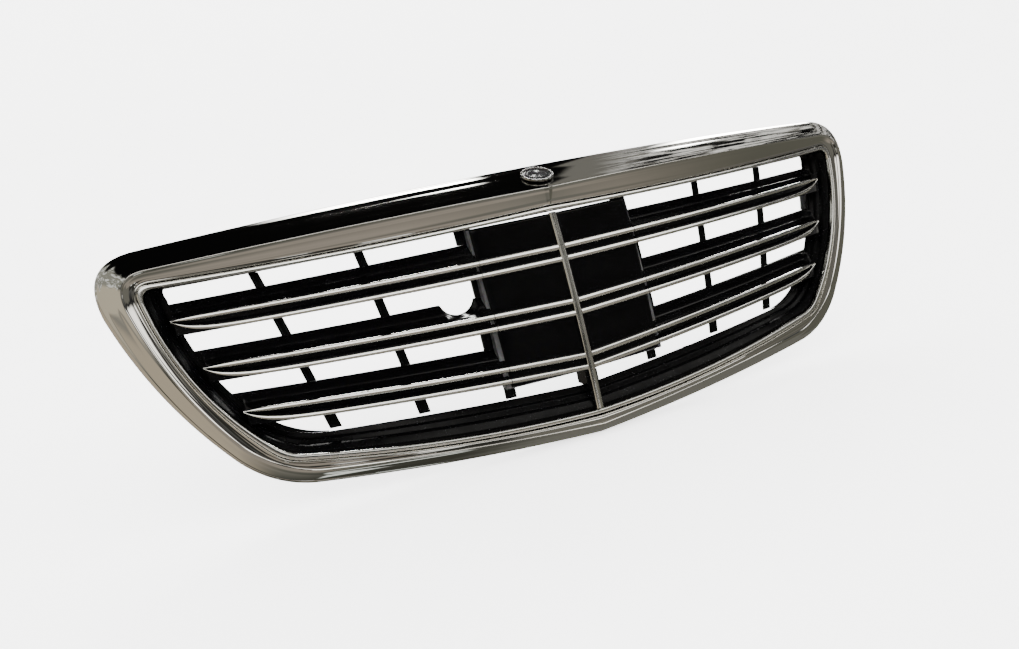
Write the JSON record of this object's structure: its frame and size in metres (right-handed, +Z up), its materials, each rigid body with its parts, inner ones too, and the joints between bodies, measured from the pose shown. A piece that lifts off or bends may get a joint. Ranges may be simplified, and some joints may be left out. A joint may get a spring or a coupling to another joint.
{
  "type": "front grille",
  "caption": "Plated car grille, shallow vee in plan, twin bright louvres either side of a flat sensor cover, open air lattice and rear fixing brackets.",
  "frame": {"origin": "midpoint between the two upper fixing bolts, on the centre plane, at mid thickness of their tabs", "axes": "+X to the right seen from the front (the long way), -Y is the front face, +Y to the rear, +Z up along the upper bolts"},
  "size_m": [0.9216, 0.1817, 0.2859],
  "materials": {
    "plated_surround": "bright plated plastic",
    "plated_trim": "bright plated plastic",
    "louvre_black": "piano black",
    "carrier_black": "moulded gloss black",
    "cover_gloss": "polished black",
    "bracket_black": "fine moulded grain",
    "badge_plated": "bright plated",
    "badge_field": "gloss black",
    "zinc_steel": "zinc plated"
  },
  "bodies": {
    "root": {"surround": "plated_surround", "insert_bezel": "plated_trim", "carrier_top": "carrier_black", "carrier_left": "carrier_black", "carrier_right": "carrier_black", "carrier_foot": "carrier_black", "slats_left": "carrier_black", "slats_right": "carrier_black", "uprights_left": "carrier_black", "uprights_right": "carrier_black", "louvre_left_upper": "louvre_black", "louvre_left_middle": "louvre_black", "louvre_left_lower": "louvre_black", "louvre_right_upper": "louvre_black", "louvre_right_middle": "louvre_black", "louvre_right_lower": "louvre_black", "trim_left_upper": "plated_trim", "trim_left_middle": "plated_trim", "trim_left_lower": "plated_trim", "trim_right_upper": "plated_trim", "trim_right_middle": "plated_trim", "trim_right_lower": "plated_trim", "sensor_cover": "cover_gloss", "cover_frame": "bracket_black", "cover_strips_upper": "plated_trim", "cover_strips_middle": "plated_trim", "cover_strips_lower": "plated_trim", "centre_bar_top": "plated_trim", "centre_bar_middle": "plated_trim", "centre_bar_foot": "plated_trim", "centre_post": "carrier_black", "badge_ring": "badge_plated", "badge_disc": "badge_field", "badge_nut": "zinc_steel", "upper_bracket_left": "bracket_black", "upper_bracket_right": "bracket_black", "bolt_sleeves": "zinc_steel", "lower_bracket_left": "bracket_black", "lower_bracket_right": "bracket_black", "side_bracket_left": "bracket_black", "side_bracket_right": "bracket_black", "bracket_screws": "zinc_steel", "carrier_screws": "zinc_steel", "cover_screws": "zinc_steel", "edge_clips": "zinc_steel"}
  },
  "joints": []
}
